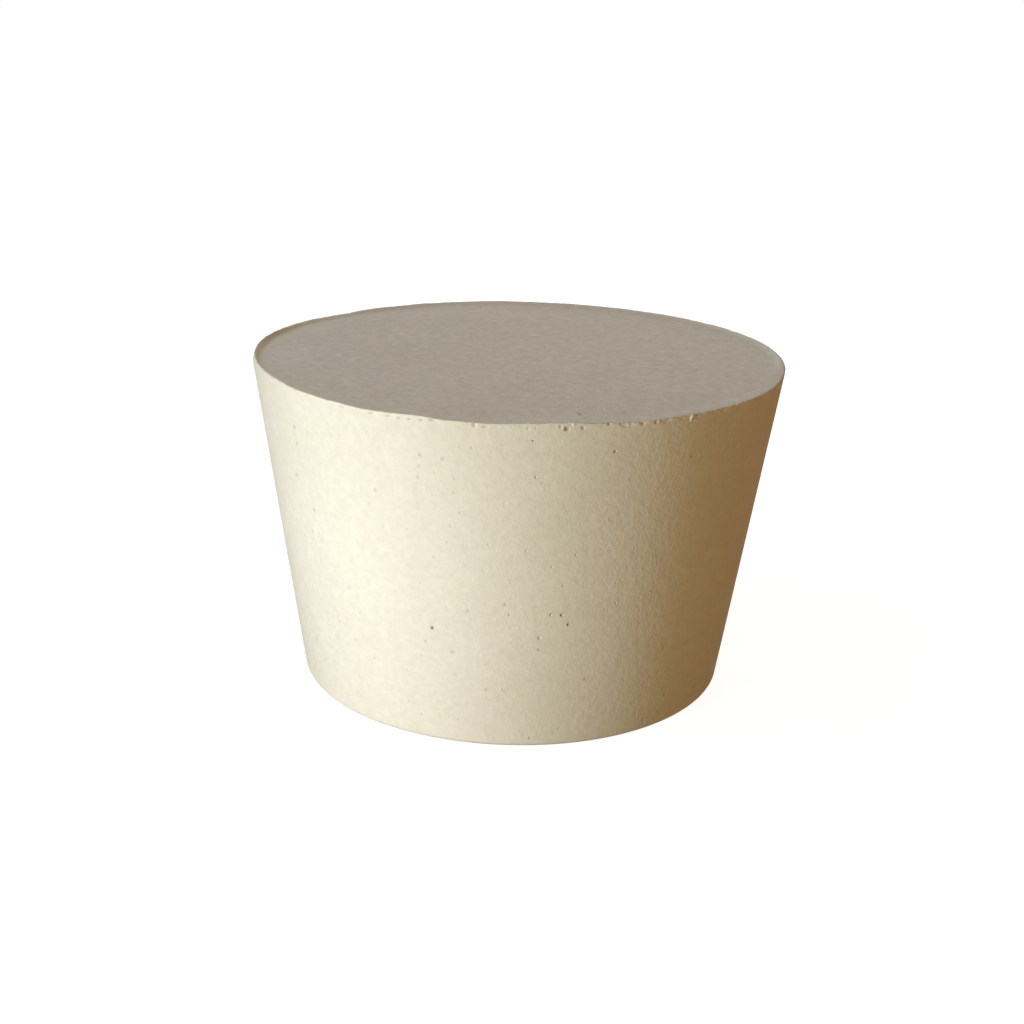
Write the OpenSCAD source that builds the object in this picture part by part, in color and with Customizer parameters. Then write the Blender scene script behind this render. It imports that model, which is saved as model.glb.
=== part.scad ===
// Solid tapered stopper, moulded in one piece from natural rubber.
// The axis is Z, and the small end stands on z = 0.
// The large end has a low rounded rim, where the mould closed, and its flat face lies just below it.

/* [Body] */
// Diameter of the large end, where the wall would meet the top of the rim in a sharp corner
large_end_d = 40.8; // [34:0.1:60]
// Diameter of the small end, where the wall would meet the base in a sharp corner
small_end_d = 33.5; // [20:0.1:34]
// Height from the base to the top of the rim
body_h = 25.4; // [15:0.1:60]

/* [Edges] */
// Radius of the rounded edge round the base
base_edge_r = 0.4; // [0.1:0.05:2]
// Radius of the rounded top of the rim
rim_r = 0.2; // [0.05:0.05:1]

/* [Large end] */
// Depth of the flat face below the top of the rim
face_sink = 0.22; // [0.02:0.01:0.24]
// Radius of the hollow that leads from the rim down to the flat face
hollow_r = 1.0; // [0.2:0.1:5]

/* [Hidden] */
$fn = 180;
rubber_colour = [0.91, 0.88, 0.79];
// How far the straight wall runs inside the round edges that it blends into
blend_overrun = 0.0001;
large_end_r = large_end_d / 2;
small_end_r = small_end_d / 2;
face_z = body_h - face_sink;
// The wall leans out by this much for each unit of height, which is this angle from the axis
wall_slope = (large_end_r - small_end_r) / body_h;
wall_angle = atan(wall_slope);
// The direction straight out of the wall, which points a little down
wall_out = [cos(wall_angle), -sin(wall_angle)];
// Centre of the base's edge, which touches the base and the wall
base_edge_mid = [small_end_r + base_edge_r * (wall_slope - 1 / cos(wall_angle)), base_edge_r];
// Centre of the rim, which touches the wall and the plane at body_h
rim_mid = [large_end_r - rim_r * (wall_slope + 1 / cos(wall_angle)), body_h - rim_r];
// The hollow touches the rim from outside and rests on the flat face
hollow_rise = hollow_r + rim_r - face_sink;
hollow_reach = sqrt(pow(hollow_r + rim_r, 2) - pow(hollow_rise, 2));
hollow_mid = rim_mid + [-hollow_reach, hollow_rise];
rim_to_hollow = (hollow_mid - rim_mid) / (hollow_r + rim_r);

// Half of the stopper's section, with the axis at x = 0
module half_section() {
    difference() {
        union() {
            polygon([
                [0, 0],
                [base_edge_mid[0], 0],
                base_edge_mid + (base_edge_r - blend_overrun) * wall_out,
                rim_mid + (rim_r - blend_overrun) * wall_out,
                rim_mid + rim_r * rim_to_hollow,
                [hollow_mid[0], face_z],
                [0, face_z]
            ]);
            translate(base_edge_mid) circle(r = base_edge_r);
            translate(rim_mid) circle(r = rim_r);
        }
        translate(hollow_mid) circle(r = hollow_r);
    }
}

// The whole stopper, turned from its section
module stopper() {
    color(rubber_colour) rotate_extrude() half_section();
}

stopper();
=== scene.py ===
import math
import random

import bmesh
import bpy
from mathutils import Matrix, Vector, noise
from mathutils.bvhtree import BVHTree
from mathutils.kdtree import KDTree


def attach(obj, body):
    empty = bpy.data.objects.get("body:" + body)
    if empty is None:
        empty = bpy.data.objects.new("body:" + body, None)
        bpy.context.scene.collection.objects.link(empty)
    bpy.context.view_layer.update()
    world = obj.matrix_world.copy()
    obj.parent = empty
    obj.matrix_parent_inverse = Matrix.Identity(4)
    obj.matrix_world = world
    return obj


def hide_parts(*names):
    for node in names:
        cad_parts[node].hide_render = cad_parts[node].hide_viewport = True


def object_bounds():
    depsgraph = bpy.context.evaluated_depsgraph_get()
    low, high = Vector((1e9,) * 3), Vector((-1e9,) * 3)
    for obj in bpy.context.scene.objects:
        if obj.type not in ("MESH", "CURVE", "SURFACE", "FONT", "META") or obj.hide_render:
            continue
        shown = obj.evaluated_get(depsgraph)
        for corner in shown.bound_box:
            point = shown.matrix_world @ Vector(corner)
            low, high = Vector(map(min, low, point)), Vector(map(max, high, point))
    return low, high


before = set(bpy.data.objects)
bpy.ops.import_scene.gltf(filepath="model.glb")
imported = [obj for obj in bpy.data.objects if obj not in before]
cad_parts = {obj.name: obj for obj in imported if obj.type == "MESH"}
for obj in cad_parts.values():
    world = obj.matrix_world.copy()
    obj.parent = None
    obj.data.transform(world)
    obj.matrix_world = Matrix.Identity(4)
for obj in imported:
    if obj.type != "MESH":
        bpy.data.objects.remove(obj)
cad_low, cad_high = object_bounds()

# The camera stands in front of the stopper and a little above it, and leans slightly to one side.
# It is made first, because the pores and the marks on the rim that it sees are placed through it.
picture_size = 1024
camera_distance = 0.12094
camera_elevation = math.radians(18.544)
camera_yaw = math.radians(0.10)
camera_pitch = math.radians(-0.223)
camera_lean = math.radians(1.554)
camera_lens = 53.18
camera_sensor = 36
camera_clip = 0.01

height = round(cad_high.z - cad_low.z, 6)
camera_place = Vector((
    0,
    -camera_distance * math.cos(camera_elevation),
    height / 2 + camera_distance * math.sin(camera_elevation),
))
camera_turn = (
    Matrix.Rotation(math.pi / 2 - camera_elevation, 3, "X")
    @ Matrix.Rotation(camera_yaw, 3, "Y")
    @ Matrix.Rotation(camera_pitch, 3, "X")
    @ Matrix.Rotation(camera_lean, 3, "Z")
)
camera = bpy.data.objects.new("camera", bpy.data.cameras.new("camera"))
camera.matrix_world = Matrix.Translation(camera_place) @ camera_turn.to_4x4()
camera.data.lens = camera_lens
camera.data.sensor_width = camera_sensor
camera.data.clip_start = camera_clip
bpy.context.scene.collection.objects.link(camera)
bpy.context.scene.camera = camera


def sight_line(pixel):
    """The direction in which the camera sees a pixel of the picture."""
    share = camera_sensor / camera_lens / picture_size
    across = (pixel[0] - picture_size / 2) * share
    up = (picture_size / 2 - pixel[1]) * share
    return (camera_turn @ Vector((across, up, -1))).normalized()


# The stopper's body is a solid plug of cream natural rubber, moulded in one piece.
# Its section is turned round the axis: base, tapered wall, and a low rounded rim round the large end's face.
# The band under the rim has a finer mesh, for the wear that it carries.
small_end_radius = 0.01675
large_end_radius = 0.0204
base_edge_radius = 0.0004
rim_radius = 0.0002
hollow_radius = 0.0010
face_sink = 0.00022
trim_band = 0.0012
rim_room = 0.00025
steps_around = 320
wall_rings = 57
trim_rings = 11
face_rings = 17
base_rings = 4
rim_cuts = 5
base_edge_segments = 5
rim_segments = 6
crest_segments = 3
hollow_segments = 4
# A bevel stops just short of its full cut, so that it never meets the next one
bevel_share = 0.98
round_profile = 0.5
near = 1e-7

lean = math.atan((large_end_radius - small_end_radius) / height)
hollow_turn = math.acos(1 - face_sink / (rim_radius + hollow_radius))
base_edge_cut = base_edge_radius / math.tan((math.pi / 2 + lean) / 2)
rim_cut = rim_radius / math.tan((math.pi / 2 - lean) / 2)
crest_cut = rim_radius * math.tan(hollow_turn / 2)
hollow_cut = hollow_radius * math.tan(hollow_turn / 2)
rim_top_radius = large_end_radius - rim_cut
crest_radius = rim_top_radius - crest_cut
foot_radius = crest_radius - face_sink / math.tan(hollow_turn)
face_height = height - face_sink
trim_height = height - trim_band
trim_radius = large_end_radius - trim_band * math.tan(lean)
rim_height = height - rim_room
rim_foot_radius = large_end_radius - rim_room * math.tan(lean)

body = bmesh.new()
section = [body.verts.new((radius, 0, z)) for radius, z in (
    (0, 0),
    (small_end_radius, 0),
    (trim_radius, trim_height),
    (rim_foot_radius, rim_height),
    (large_end_radius, height),
    (crest_radius, height),
    (foot_radius, face_height),
    (0, face_height),
)]
base_line, wall_line, trim_line, rim_line, crest_line, slope_line, face_line = [
    body.edges.new(pair) for pair in zip(section, section[1:])
]
for line, rings in (
    (wall_line, wall_rings), (trim_line, trim_rings), (base_line, base_rings), (face_line, face_rings),
):
    bmesh.ops.subdivide_edges(body, edges=[line], cuts=rings)
bmesh.ops.spin(
    body, geom=body.verts[:] + body.edges[:], axis=(0, 0, 1), cent=(0, 0, 0),
    angle=math.tau, steps=steps_around, use_merge=True,
)
bmesh.ops.remove_doubles(body, verts=body.verts, dist=near)
bmesh.ops.recalc_face_normals(body, faces=body.faces)


def ring_at(radius, z):
    """The ring of edges at this distance from the axis and this height."""
    def is_there(vert):
        return abs(vert.co.xy.length - radius) < near and abs(vert.co.z - z) < near
    return [edge for edge in body.edges if all(is_there(vert) for vert in edge.verts)]


for ring, cut, segments in (
    (ring_at(small_end_radius, 0), base_edge_cut, base_edge_segments),
    (ring_at(large_end_radius, height), rim_cut, rim_segments),
    (ring_at(crest_radius, height), crest_cut, crest_segments),
    (ring_at(foot_radius, face_height), hollow_cut, hollow_segments),
):
    bmesh.ops.bevel(
        body, geom=ring, offset=cut * bevel_share, offset_type="OFFSET", affect="EDGES",
        segments=segments, profile=round_profile, material=-1,
    )
rim_inside = foot_radius - hollow_cut - near
rim_rings = [
    edge for edge in body.edges
    if abs(edge.verts[0].co.z - edge.verts[1].co.z) < near
    and abs(edge.verts[0].co.xy.length - edge.verts[1].co.xy.length) < near
    and edge.verts[0].co.z > trim_height - near
    and edge.verts[0].co.xy.length > rim_inside
]
bmesh.ops.subdivide_edges(body, edges=rim_rings, cuts=rim_cuts, use_grid_fill=True)
body.normal_update()

# Gas pores are bubbles in the rubber that opened at the skin as the stopper was moulded.
# Each one is a round mouth in a face of the wall, over a pit that narrows inwards and is darkened with painted
# shade.
# Most of those that face the camera stand where the picture has them, and the others are scattered.
seen_from_front = 80
wall_foot = 0.0008
head_room = 0.0002
wall_head = trim_height - head_room
# Each kind has the width of its mouth, the depth of its pit and the darkness of the shade painted into it
deep_pore = (0.00029, 0.00018, 0.50)
large_pore = (0.00031, 0.00012, 0.31)
middle_pore = (0.00027, 0.00006, 0.18)
small_pore = (0.00019, 0.00005, 0.20)
shallow_pore = (0.00024, 0.000025, 0.08)
side_pore = (0.00028, 0.00008, 0.34)
deep_pore_pixels = ((432, 628), (580, 413))
large_pore_pixels = ((562, 615), (568, 625), (616, 452), (692, 456), (664, 647), (665, 694))
middle_pore_pixels = (
    (551, 615), (539, 638), (452, 653), (375, 490), (536, 477), (420, 455), (530, 738),
)
small_pore_pixels = (
    (509, 615), (576, 555), (533, 441), (418, 477), (349, 588), (675, 547), (616, 603), (553, 733), (505, 605),
    (585, 680), (486, 690), (610, 520), (355, 640), (630, 480),
)
shallow_pore_pixels = (
    (552, 567), (453, 492), (489, 545), (492, 452), (616, 583), (454, 478), (450, 526), (526, 551), (419, 466),
    (563, 586), (460, 513), (634, 552), (460, 447), (461, 502), (511, 628), (494, 738), (456, 674), (447, 542),
    (472, 447), (430, 640), (640, 597),
)
side_pore_pixels = (
    (316, 639), (297, 444), (294, 427), (296, 475), (312, 531), (314, 510), (658, 711), (643, 720),
)
scattered_deep = 2
scattered_large = 7
scattered_middle = 16
scattered_small = 40
scatter_seed = 8
shallow_seed = 9
mouth_room = 0.00005
slide_room = 0.00015
mouth_widths = (0.75, 1.1)
# The edge of a mouth gets part of its pit's painted shade
mouth_shade = 0.55
# The two steps of a pit, as shares of its width, of its depth and of its painted shade
pit_steps = ((0.12, 0.65, 0.85), (0.15, 0.35, 1.0))
# Turns the mouth's corners away from the angle where the count of degrees starts again
mouth_turn = 22
turn_step = 360 / steps_around
ring_step = trim_height / (wall_rings + 1)

draw = random.Random(scatter_seed)
shallow_draw = random.Random(shallow_seed)
pit = body.verts.layers.float.new("pit")
bare = body.verts.layers.float.new("bare")
body.faces.ensure_lookup_table()
skin_tree = BVHTree.FromBMesh(body)
kept_faces = set()


def bearing(place):
    """The angle round the axis in degrees, 0 in front and 90 on the right."""
    return math.degrees(math.atan2(place.x, -place.y))


def wall_order(face):
    """The ring of a wall face and its step round the axis, so that the faces are listed alike in every run."""
    middle = face.calc_center_median()
    return math.floor(middle.z / ring_step), math.floor(bearing(middle) % 360 / turn_step)


def mouth_order(vert, centre):
    """The angle of a corner round its mouth, so that the corners are listed alike in every run."""
    offset = vert.co - centre
    across = offset @ Vector((-centre.y, centre.x, 0)).normalized()
    return (math.degrees(math.atan2(offset.z, across)) + mouth_turn) % 360


def keep_for_pore(face, middle, pores):
    """Keeps a wall face for one pore, unless it is beside another pore."""
    beside = {other for vert in face.verts for other in vert.link_faces}
    if beside & kept_faces:
        return False
    kept_faces.add(face)
    pores.append((face, middle))
    return True


wall_faces = [face for face in body.faces if wall_foot < face.calc_center_median().z < wall_head]
wall_faces.sort(key=wall_order)
pore_groups = []
for pore, pixels, scattered, chance in (
    (deep_pore, deep_pore_pixels, scattered_deep, draw),
    (large_pore, large_pore_pixels, scattered_large, draw),
    (middle_pore, middle_pore_pixels, scattered_middle, draw),
    (small_pore, small_pore_pixels, scattered_small, draw),
    (shallow_pore, shallow_pore_pixels, 0, shallow_draw),
    (side_pore, side_pore_pixels, 0, shallow_draw),
):
    pores = []
    for pixel in pixels:
        middle, normal, index, distance = skin_tree.ray_cast(camera_place, sight_line(pixel))
        keep_for_pore(body.faces[index], middle, pores)
    while scattered:
        face = chance.choice(wall_faces)
        middle = face.calc_center_median()
        if pore is small_pore or abs(bearing(middle)) > seen_from_front:
            scattered -= keep_for_pore(face, middle, pores)
    pore_groups.append((pore, pores, chance))
# Each pit and its mouth are darkened with painted shade
for (width, depth, painted_shade), pores, chance in pore_groups:
    faces = [face for face, middle in pores]
    for face, middle in pores:
        slide = middle - face.calc_center_median()
        slide *= min(1, slide_room / max(slide.length, near))
        for vert in face.verts:
            vert.co += slide
    bmesh.ops.inset_individual(body, faces=faces, thickness=mouth_room, use_even_offset=True)
    for face, middle in pores:
        for edge in list(face.edges):
            bmesh.utils.edge_split(edge, edge.verts[0], 0.5)
        centre = face.calc_center_median()
        shift = middle - centre
        shift *= min(1, mouth_room / 2 / max(shift.length, near))
        for vert in sorted(face.verts, key=lambda corner: mouth_order(corner, centre)):
            spoke = (vert.co - centre).normalized()
            vert.co = centre + shift + spoke * width / 2 * chance.uniform(*mouth_widths)
            vert[pit] = mouth_shade * painted_shade
        for edge in face.edges:
            edge.smooth = False
    for narrowing, sinking, share in pit_steps:
        bmesh.ops.inset_individual(body, faces=faces, thickness=width * narrowing, depth=-depth * sinking)
        for face in faces:
            for vert in face.verts:
                vert[pit] = share * painted_shade

# The skin of the wall and of the large end isn't quite even: the rubber shrank a little as it cooled.
# Every point goes in by a few hundredths of a millimetre at most, so the stopper stays within its sizes.
skin_drop = 0.000016
wave_depth = 0.000022
wave_length = 0.0065
ripple_depth = 0.000007
ripple_length = 0.0021
# The share of the large end's face, from the middle out, that shrinks fully
face_share = 0.95


def ease(low, high, value):
    """Rises smoothly from 0 at low to 1 at high."""
    share = min(max((value - low) / (high - low), 0), 1)
    return share * share * (3 - 2 * share)


def skin_depth(place):
    """How far the skin has shrunk in at this place."""
    wave = noise.noise(place / wave_length) * 0.5 + 0.5
    ripple = noise.noise(place / ripple_length) * 0.5 + 0.5
    return wave_depth * wave + ripple_depth * ripple


for vert in body.verts:
    drop = skin_depth(vert.co)
    reach = vert.co.xy.length
    if reach < rim_inside and vert.co.z > trim_height:
        vert.co.z -= drop * (1 - ease(rim_inside * face_share, rim_inside, reach))
    else:
        outwards = Vector((vert.co.x, vert.co.y, 0)).normalized()
        vert.co -= outwards * (skin_drop + drop) * ease(0, base_edge_radius, vert.co.z)

# The rim is where the mould closed and the stopper was torn off its sheet, so it is worn all round.
# It has worn down at the front and a little at the back left, and is chipped and pitted at the front right.
# The face has sunk beside it, and it carries crumbs, a loose flake and short cuts of the trimming knife. Its
# holes, pits and cuts are darkened with painted shade.
rim_loss_waver = 0.00004
waver_length = 0.0016
# How far the rim has worn down at each bearing
rim_loss = (
    (-180, 0.00004), (-145, 0.00015), (-131, 0.00023), (-112, 0.00011), (-97, 0.0), (-60, 0.00003),
    (-46, 0.00018), (-28, 0.00028), (-18, 0.00020), (-13, 0.00032), (-4, 0.00033), (3, 0.00025),
    (10, 0.00018), (15, 0.00031), (24, 0.00040), (34, 0.00034), (50, 0.00032), (66, 0.00031),
    (92, 0.0), (180, 0.00004),
)
loss_reach = 0.00035
slope_reach = 0.00022
face_dip = 0.00014
dip_reach = 0.003
dip_bearings = (-180, -140, -85, -55)
round_share = 0.8
round_reach = 0.0006
round_bearings = (-125, -100, -75, -50)
crisp_loss = 0.00014
crispness = 0.9
chip_depth = 0.00013
chip_reach = 0.00038
chip_core = 0.35
chip_push = 0.7
chip_bare = 0.6
chip_from = -0.05
chip_full = 0.4
chip_lengths = ((0.0012, 0.25), (0.0005, 0.45), (0.00025, 0.3))
least_wear = 0.35
worn_from = 10
worn_to = 60
worn_fade = 10
rim_hole_pixels = ((474, 425), (567, 429))
rim_pit_pixels = (
    (528, 428), (536, 428), (561, 427), (583, 428), (609, 424), (621, 424), (643, 424), (656, 422), (669, 419),
    (697, 416), (722, 411), (733, 408), (757, 399),
)
rim_crumb_pixels = (
    (563, 427), (574, 425), (588, 424), (633, 422), (649, 422), (665, 419), (672, 417), (682, 415), (702, 413),
    (715, 410),
)
knife_cut_pixels = (
    (370, 413), (387, 416), (398, 418), (409, 419), (421, 420), (431, 420), (341, 407), (484, 427),
)
# Each kind of mark has its size and how far it goes in or out
rim_hole = (0.00017, 0.00010)
rim_pit = (0.00015, 0.00008)
rim_crumb = (0.00012, 0.00005)
knife_cut = (0.00010, 0.00006)
knife_cut_stretch = 3.0
# The darkness of the shade painted into the rim's holes, pits and knife cuts
rim_hole_shade = 0.5
rim_pit_shade = 0.4
knife_cut_shade = 0.32
mark_scales = (0.75, 1.2)
mark_core = 0.7
ragged_length = 0.00018
ragged_share = 0.6
hidden_wear = 40
hidden_from = 97
hidden_to = 262
hidden_drop = (0.0001, 0.0005)
# Of the marks on the hidden side, one in this many is a crumb and the others are pits
crumb_every = 3
# How far out the search for the hidden rim starts, in radii of the large end
search_reach = 1.2
flake_pixel = (691, 417)
flake_size = (0.00013, 0.00062)
flake_height = 0.00012
flake_foot = 0.4

body.verts.ensure_lookup_table()
body.faces.ensure_lookup_table()
body.normal_update()
upwards = Vector((0, 0, 1))


def loss_at(turn):
    """How far the rim has worn down at this bearing."""
    for (low, low_loss), (high, high_loss) in zip(rim_loss, rim_loss[1:]):
        if low <= turn <= high:
            return low_loss + (high_loss - low_loss) * ease(low, high, turn)
    return 0


def left_share(bearings, turn):
    """Rises from 0 to 1 and falls again over four bearings, from the back to the front left."""
    back_end, back_start, left_start, left_end = bearings
    return ease(left_end, left_start, turn) * ease(back_end, back_start, turn)


def dip_at(turn):
    """How far the face has sunk beside the rim here: it shrank at the left, and wore with the rim."""
    return max(face_dip * left_share(dip_bearings, turn), loss_at(turn) - face_sink)


for vert in body.verts:
    radius = vert.co.xy.length
    if vert.co.z > trim_height and radius < rim_top_radius:
        dip = dip_at(bearing(vert.co)) * ease(rim_inside - dip_reach, rim_inside, radius)
        vert.co.z -= dip * (1 - ease(foot_radius, rim_top_radius, radius))
rim_verts = [vert for vert in body.verts if vert.co.z > trim_height and vert.co.xy.length > rim_inside]
for vert in rim_verts:
    turn = bearing(vert.co)
    radius = vert.co.xy.length
    outwards = Vector((vert.co.x, vert.co.y, 0)).normalized()
    worn = ease(worn_from, worn_from + worn_fade, turn) * (1 - ease(worn_to - worn_fade, worn_to, turn))
    roughness = sum(noise.noise(vert.co / length) * share for length, share in chip_lengths)
    gap = math.hypot(radius - large_end_radius, vert.co.z - height)
    chip = max(least_wear, worn) * ease(chip_from, chip_full, roughness)
    chip *= 1 - ease(chip_reach * chip_core, chip_reach, gap)
    loss = loss_at(turn)
    loss += min(loss, rim_loss_waver) * noise.noise(vert.co / waver_length)
    if radius < rim_top_radius:
        level = height - loss
        face_level = face_height - dip_at(turn)
        below_face = max(0, face_level - level) * ease(rim_top_radius - slope_reach, rim_top_radius, radius)
        vert.co.z = min(vert.co.z, max(level, face_level)) - below_face
    else:
        wall_radius = large_end_radius - (height - vert.co.z) * math.tan(lean)
        rounding = wall_radius - skin_drop - skin_depth(vert.co) - radius
        vert.co += outwards * max(0, rounding) * crispness * ease(0, crisp_loss, loss)
        rounder = round_share * left_share(round_bearings, turn)
        rounder *= ease(height - round_reach, height, vert.co.z)
        vert.co -= outwards * max(0, radius - rim_top_radius) * rounder
        loss *= ease(trim_height, height - loss_reach, vert.co.z)
        vert.co -= (outwards * math.tan(lean) + upwards) * loss
    vert.co -= (outwards + upwards) * chip * chip_depth * chip_push
    vert[bare] = chip_bare * chip

body.normal_update()
rim_tree = BVHTree.FromBMesh(body)
rim_points = KDTree(len(rim_verts))
for index, vert in enumerate(rim_verts):
    rim_points.insert(vert.co, index)
rim_points.balance()


def push_rim(middle, normal, size, rise, darkness, stretch=1):
    """Raises the rim's surface round a point into a crumb, or sinks it into a pit where rise is below 0."""
    along = upwards.cross(normal).normalized()
    for place, index, distance in rim_points.find_range(middle, size * stretch):
        vert = rim_verts[index]
        offset = place - middle
        gap = (offset - along * (offset @ along) * (1 - 1 / stretch)).length
        share = max(0, 1 - (gap / size) ** 2 + ragged_share * noise.noise(place / ragged_length))
        share = min(share, 1) * ease(size, size * mark_core, gap)
        vert.co += normal * rise * share
        # A sunk mark is darkened with painted shade, and a raised crumb is painted paler
        vert[pit] = max(vert[pit], darkness * share)
        vert[bare] = max(vert[bare], share) if rise > 0 else vert[bare] * (1 - share)


marks = []
for pixels, (size, rise), sign, darkness, stretch in (
    (rim_hole_pixels, rim_hole, -1, rim_hole_shade, 1),
    (rim_pit_pixels, rim_pit, -1, rim_pit_shade, 1),
    (rim_crumb_pixels, rim_crumb, 1, 0, 1),
    (knife_cut_pixels, knife_cut, -1, knife_cut_shade, knife_cut_stretch),
):
    for pixel in pixels:
        middle, normal, index, distance = rim_tree.ray_cast(camera_place, sight_line(pixel))
        scale = draw.uniform(*mark_scales)
        marks.append((middle, normal, size * scale, sign * rise * scale, darkness, stretch))
for count in range(hidden_wear):
    turn = draw.uniform(hidden_from, hidden_to)
    level = height - loss_at(turn if turn < 180 else turn - 360) - draw.uniform(*hidden_drop)
    outwards = Vector((math.sin(math.radians(turn)), -math.cos(math.radians(turn)), 0))
    start = outwards * large_end_radius * search_reach + upwards * level
    middle, normal, index, distance = rim_tree.ray_cast(start, -outwards)
    scale = draw.uniform(*mark_scales)
    if count % crumb_every:
        (size, rise), sign, darkness = rim_pit, -1, rim_pit_shade
    else:
        (size, rise), sign, darkness = rim_crumb, 1, 0
    marks.append((middle, normal, size * scale, sign * rise * scale, darkness))
for mark in marks:
    push_rim(*mark)

middle, normal, index, distance = rim_tree.ray_cast(camera_place, sight_line(flake_pixel))
along = upwards.cross(normal).normalized()
steep = normal.cross(along)
flake_faces = []
for face in body.faces:
    offset = face.calc_center_median() - middle
    across, up = offset @ along, offset @ steep
    if offset.length < flake_size[1] and abs(across) < flake_size[0] / 2 and abs(up) < flake_size[1] / 2:
        flake_faces.append(face)
raised = bmesh.ops.extrude_face_region(body, geom=flake_faces)["geom"]
bmesh.ops.delete(body, geom=flake_faces, context="FACES")
for vert in raised:
    if isinstance(vert, bmesh.types.BMVert):
        rise = (vert.co - middle) @ steep / flake_size[1] + 0.5
        lift = flake_foot + (1 - flake_foot) * rise
        vert.co += normal * flake_height * lift + along * flake_size[0] * rise
        vert[bare] = 1

# The finished stopper is one closed skin, and nothing of it reaches past the sizes of the solid.
# Its two flat ends have a finish of their own, and the wall and the rim share the other one.
for vert in body.verts:
    vert.co.x = min(max(vert.co.x, cad_low.x), cad_high.x)
    vert.co.y = min(max(vert.co.y, cad_low.y), cad_high.y)
    vert.co.z = min(max(vert.co.z, cad_low.z), cad_high.z)
for face in body.faces:
    face.smooth = True
    middle = face.calc_center_median()
    is_end = middle.z < near or (middle.z > trim_height and middle.xy.length < rim_inside)
    face.material_index = 1 if is_end else 0
stopper_mesh = bpy.data.meshes.new("stopper_body")
body.to_mesh(stopper_mesh)
body.free()
stopper = bpy.data.objects.new("stopper_body", stopper_mesh)
bpy.context.scene.collection.objects.link(stopper)
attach(stopper, "root")
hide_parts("stopper")

# The rubber is filled with chalk, so it is opaque, cream and matt, and its skin keeps the grain of the mould.
# Its colour drifts a little from place to place, painted shade darkens the pits, and torn places on the rim
# are paler.
# The plates that pressed the two flat ends were rougher than the mould, so the ends' grain is deeper.
rubber_colour = (0.827, 0.775, 0.600)
drift_colour = (0.779, 0.725, 0.554)
bare_colour = (0.87, 0.825, 0.68)
# The colour of the shade painted into the pits
pit_shade_colour = (0.20, 0.15, 0.085)
speck_colour = (0.55, 0.49, 0.35)
drift_size = 0.006
mottle_size = 0.0009
grain_size = 0.00052
fine_size = 0.00019
speck_size = 0.0009
noise_rough = 0.55
# The span that most of a noise lies in
noise_span = (0.3, 0.7)
fine_share = 0.2
mottle_share = 0.9
# A speck fades out over these shares of its cell, and the cells with the highest draws have the darkest ones
speck_edge = (0.04, 0.19)
speck_draws = (0.4, 1.0)
speck_share = 0.45
wall_grain_depth = 0.000057
end_grain_depth = 0.000084
wall_grain_tint = 0.042
end_grain_tint = 0.08
rubber_shine = 0.06
rubber_roughness = (0.66, 0.78)


def add_node(tree, kind, settings=None, **values):
    """Adds a shader node to a tree, with its settings and the values of its sockets."""
    node = tree.nodes.new("ShaderNode" + kind)
    for name, value in (settings or {}).items():
        setattr(node, name, value)
    for name, value in values.items():
        node.inputs[name.replace("_", " ")].default_value = value
    return node


def remap(tree, value, from_low, from_high, to_low, to_high):
    """Stretches a value from one span to another, and holds it inside."""
    ranger = add_node(
        tree, "MapRange", From_Min=from_low, From_Max=from_high, To_Min=to_low, To_Max=to_high,
    )
    tree.links.new(value, ranger.inputs["Value"])
    return ranger.outputs["Result"]


moulded_skin = bpy.data.node_groups.new("moulded_skin", "ShaderNodeTree")
moulded_skin.interface.new_socket("Place", in_out="INPUT", socket_type="NodeSocketVector")
for name in ("Drift", "Mottle", "Grain", "Specks"):
    moulded_skin.interface.new_socket(name, in_out="OUTPUT", socket_type="NodeSocketFloat")
place = moulded_skin.nodes.new("NodeGroupInput")
skin_out = moulded_skin.nodes.new("NodeGroupOutput")
noises = {}
for name, size, detail in (
    ("Drift", drift_size, 2), ("Mottle", mottle_size, 3), ("Coarse", grain_size, 2), ("Fine", fine_size, 1),
):
    noises[name] = add_node(moulded_skin, "TexNoise", Scale=1 / size, Detail=detail, Roughness=noise_rough)
    moulded_skin.links.new(place.outputs["Place"], noises[name].inputs["Vector"])
grain = add_node(moulded_skin, "Mix", Factor=fine_share)
moulded_skin.links.new(noises["Coarse"].outputs[0], grain.inputs["A"])
moulded_skin.links.new(noises["Fine"].outputs[0], grain.inputs["B"])
cells = add_node(moulded_skin, "TexVoronoi", Scale=1 / speck_size)
moulded_skin.links.new(place.outputs["Place"], cells.inputs["Vector"])
cell_draw = add_node(moulded_skin, "SeparateColor")
moulded_skin.links.new(cells.outputs["Color"], cell_draw.inputs["Color"])
specks = add_node(moulded_skin, "Math", {"operation": "MULTIPLY"})
dots = remap(moulded_skin, cells.outputs["Distance"], *speck_edge, 1, 0)
darkness = remap(moulded_skin, cell_draw.outputs["Red"], *speck_draws, 0, speck_share)
moulded_skin.links.new(dots, specks.inputs[0])
moulded_skin.links.new(darkness, specks.inputs[1])
for name in ("Drift", "Mottle"):
    moulded_skin.links.new(noises[name].outputs[0], skin_out.inputs[name])
moulded_skin.links.new(grain.outputs["Result"], skin_out.inputs["Grain"])
moulded_skin.links.new(specks.outputs["Value"], skin_out.inputs["Specks"])


def mix_colour(tree, factor, low, high):
    """Mixes two colours by a factor; each colour is a plain one or another node's output."""
    mixer = add_node(tree, "Mix", {"data_type": "RGBA"})
    tree.links.new(factor, mixer.inputs["Factor"])
    for socket, colour in (("A", low), ("B", high)):
        if isinstance(colour, tuple):
            mixer.inputs[socket].default_value = (*colour, 1)
        else:
            tree.links.new(colour, mixer.inputs[socket])
    return mixer.outputs["Result"]


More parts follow.
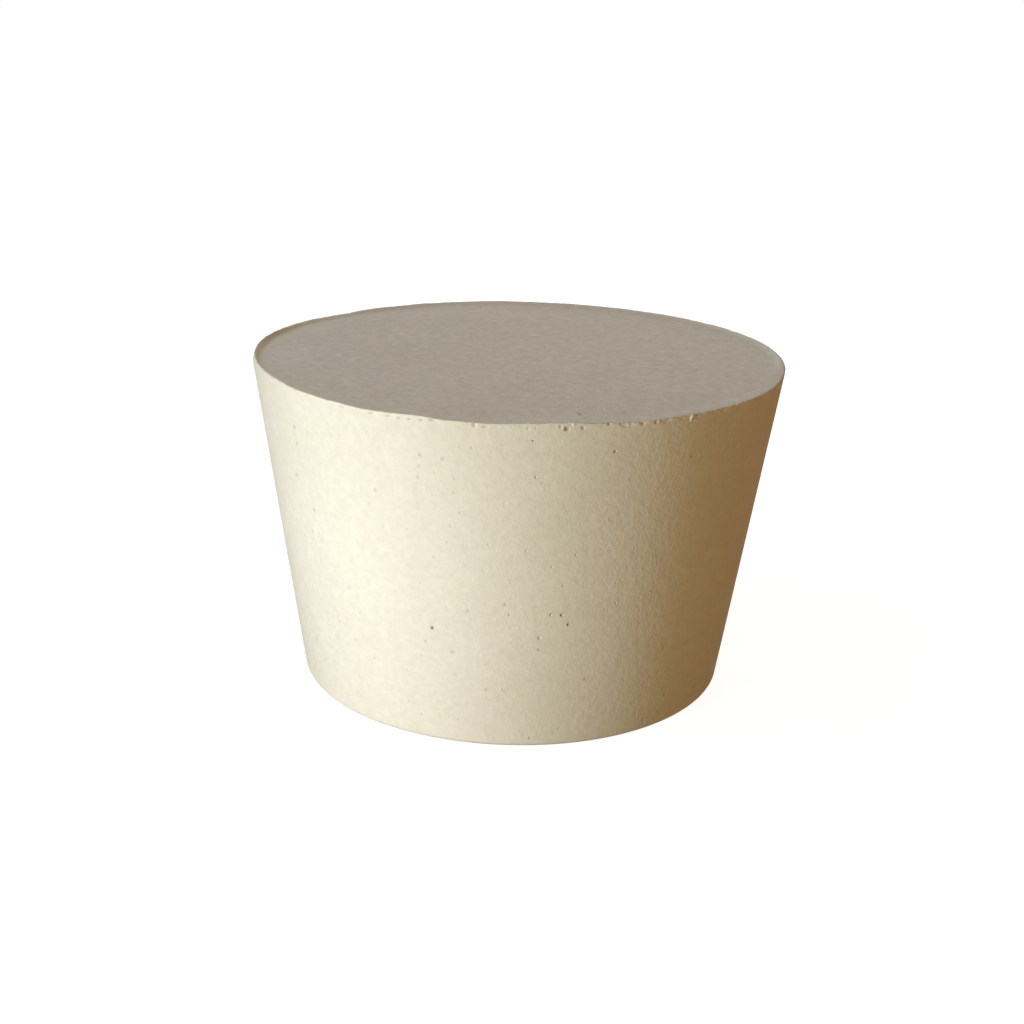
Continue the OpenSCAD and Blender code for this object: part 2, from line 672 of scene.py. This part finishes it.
def rubber_finish(name, grain_depth, grain_tint):
    """The cream rubber, with the depth of its grain and how far the grain shows in its colour."""
    material = bpy.data.materials.new(name)
    material.use_nodes = True
    tree = material.node_tree
    rubber = tree.nodes["Principled BSDF"]
    rubber.inputs["Specular IOR Level"].default_value = rubber_shine
    coordinates = add_node(tree, "TexCoord")
    skin = tree.nodes.new("ShaderNodeGroup")
    skin.node_tree = moulded_skin
    tree.links.new(coordinates.outputs["Object"], skin.inputs["Place"])
    drift = remap(tree, skin.outputs["Drift"], *noise_span, 0, 1)
    colour = mix_colour(tree, drift, rubber_colour, drift_colour)
    mottle = remap(tree, skin.outputs["Mottle"], *noise_span, 0, mottle_share)
    colour = mix_colour(tree, mottle, colour, drift_colour)
    grey = remap(tree, skin.outputs["Grain"], *noise_span, 1 - grain_tint, 1 + grain_tint)
    grained = add_node(tree, "HueSaturation")
    tree.links.new(colour, grained.inputs["Color"])
    tree.links.new(grey, grained.inputs["Value"])
    colour = mix_colour(tree, skin.outputs["Specks"], grained.outputs["Color"], speck_colour)
    # The pits are darkened with painted shade, and the torn places are paler
    for layer, tint in (("bare", bare_colour), ("pit", pit_shade_colour)):
        mask = add_node(tree, "Attribute", {"attribute_name": layer})
        colour = mix_colour(tree, mask.outputs["Fac"], colour, tint)
    tree.links.new(colour, rubber.inputs["Base Color"])
    roughness = remap(tree, skin.outputs["Mottle"], *noise_span, *rubber_roughness)
    tree.links.new(roughness, rubber.inputs["Roughness"])
    bump = add_node(tree, "Bump", Strength=1.0, Distance=grain_depth)
    tree.links.new(skin.outputs["Grain"], bump.inputs["Height"])
    tree.links.new(bump.outputs["Normal"], rubber.inputs["Normal"])
    return material


stopper_mesh.materials.append(rubber_finish("rubber_wall", wall_grain_depth, wall_grain_tint))
stopper_mesh.materials.append(rubber_finish("rubber_end", end_grain_depth, end_grain_tint))

# The floor is a plain sheet that the stopper stands on, and no part of the object.
# The camera sees it white from its glow, which is a little weaker near the stopper, so it is a little dimmer
# where the stopper shades it.
# What it throws back on to the stopper is the dim brown light of a bench.
floor_reach = 3.0
bench_colour = (0.25, 0.16, 0.08, 1)
sheet_colour = (0.5, 0.5, 0.5, 1)
# The glow is weaker within these distances of the stopper's middle and full further out
glow_reach = (0.02, 0.09)
glow_levels = (0.90, 1.0)


def seen_rays(tree):
    """1 for the camera's own rays and those sent on by shiny or clear surfaces, and 0 for all other light."""
    path = add_node(tree, "LightPath")
    seen = path.outputs["Is Camera Ray"]
    for ray in ("Is Glossy Ray", "Is Transmission Ray"):
        either = add_node(tree, "Math", {"operation": "MAXIMUM"})
        tree.links.new(seen, either.inputs[0])
        tree.links.new(path.outputs[ray], either.inputs[1])
        seen = either.outputs[0]
    return seen


def show_by_ray(tree, lighting, showing, ending):
    """Gives a tree one shader that lights the stopper and another that is seen."""
    mix = add_node(tree, "MixShader")
    tree.links.new(seen_rays(tree), mix.inputs[0])
    tree.links.new(lighting.outputs[0], mix.inputs[1])
    tree.links.new(showing.outputs[0], mix.inputs[2])
    tree.links.new(mix.outputs[0], add_node(tree, ending).inputs["Surface"])


floor_shape = bmesh.new()
bmesh.ops.create_grid(floor_shape, x_segments=1, y_segments=1, size=floor_reach)
floor_mesh = bpy.data.meshes.new("floor")
floor_shape.to_mesh(floor_mesh)
floor_shape.free()
floor = bpy.data.objects.new("floor", floor_mesh)
bpy.context.scene.collection.objects.link(floor)
paper = bpy.data.materials.new("floor_paper")
paper.use_nodes = True
tree = paper.node_tree
tree.nodes.clear()
bench = add_node(tree, "BsdfDiffuse", Color=bench_colour)
white = add_node(tree, "BsdfDiffuse", Color=sheet_colour)
glow = add_node(tree, "Emission")
spot = add_node(tree, "TexCoord")
reach = add_node(tree, "VectorMath", {"operation": "LENGTH"})
tree.links.new(spot.outputs["Object"], reach.inputs[0])
tree.links.new(remap(tree, reach.outputs["Value"], *glow_reach, *glow_levels), glow.inputs["Strength"])
sheet = add_node(tree, "AddShader")
tree.links.new(white.outputs[0], sheet.inputs[0])
tree.links.new(glow.outputs[0], sheet.inputs[1])
show_by_ray(tree, bench, sheet, "OutputMaterial")
floor_mesh.materials.append(paper)

# The room round the stopper is white where it is seen.
# Its own light is even and weak, because the lamps light the stopper.
room_colour = (1, 1, 1, 1)
room_light = 0.05

world = bpy.data.worlds.new("room")
bpy.context.scene.world = world
world.use_nodes = True
tree = world.node_tree
tree.nodes.clear()
air = add_node(tree, "Background", Color=room_colour, Strength=room_light)
backdrop = add_node(tree, "Background", Color=room_colour)
show_by_ray(tree, air, backdrop, "OutputWorld")


# Soft lamps light the stopper: a tall window at the left front with its light back off the table, and the sky.
# A warm wall at the right, a fill in front and one behind keep the other sides from going dark.
def softbox(name, azimuth, elevation, distance, size, level, colour):
    """A lamp aimed at the stopper: azimuth 0 is in front and 90 on the right, and level 1 is full light."""
    turn, rise = math.radians(azimuth), math.radians(elevation)
    way = Vector((math.sin(turn) * math.cos(rise), -math.cos(turn) * math.cos(rise), math.sin(rise)))
    lamp = bpy.data.lights.new(name, "AREA")
    lamp.shape = "RECTANGLE"
    lamp.size, lamp.size_y = size
    lamp.color = colour
    lamp.energy = level * math.pi ** 2 * distance ** 2
    lamp_object = bpy.data.objects.new(name, lamp)
    place = Vector((0, 0, height / 2)) + way * distance
    lamp_object.matrix_world = Matrix.Translation(place) @ way.to_track_quat("Z", "Y").to_matrix().to_4x4()
    lamp_object.visible_camera = False
    bpy.context.scene.collection.objects.link(lamp_object)


softbox(
    "window", azimuth=-38, elevation=0, distance=0.078,
    size=(0.018, 0.025), level=0.338, colour=(0.686, 0.825, 1.0),
)
softbox(
    "table_light", azimuth=-34, elevation=-9, distance=0.062,
    size=(0.018, 0.005), level=0.264, colour=(0.788, 0.841, 1.0),
)
softbox(
    "sky", azimuth=-85, elevation=45, distance=0.35,
    size=(0.15, 0.15), level=0.449, colour=(0.833, 0.829, 1.0),
)
softbox(
    "warm_wall", azimuth=95, elevation=10, distance=0.3,
    size=(0.12, 0.12), level=0.173, colour=(1.0, 0.428, 0.052),
)
softbox(
    "front_fill", azimuth=-10, elevation=10, distance=0.3,
    size=(0.12, 0.12), level=0.252, colour=(1.0, 0.845, 0.520),
)
softbox(
    "back_fill", azimuth=170, elevation=7, distance=0.35,
    size=(0.2, 0.2), level=0.38, colour=(1.0, 0.925, 0.80),
)

# The picture keeps the colours as they are lit.
bpy.context.scene.view_settings.view_transform = "Standard"
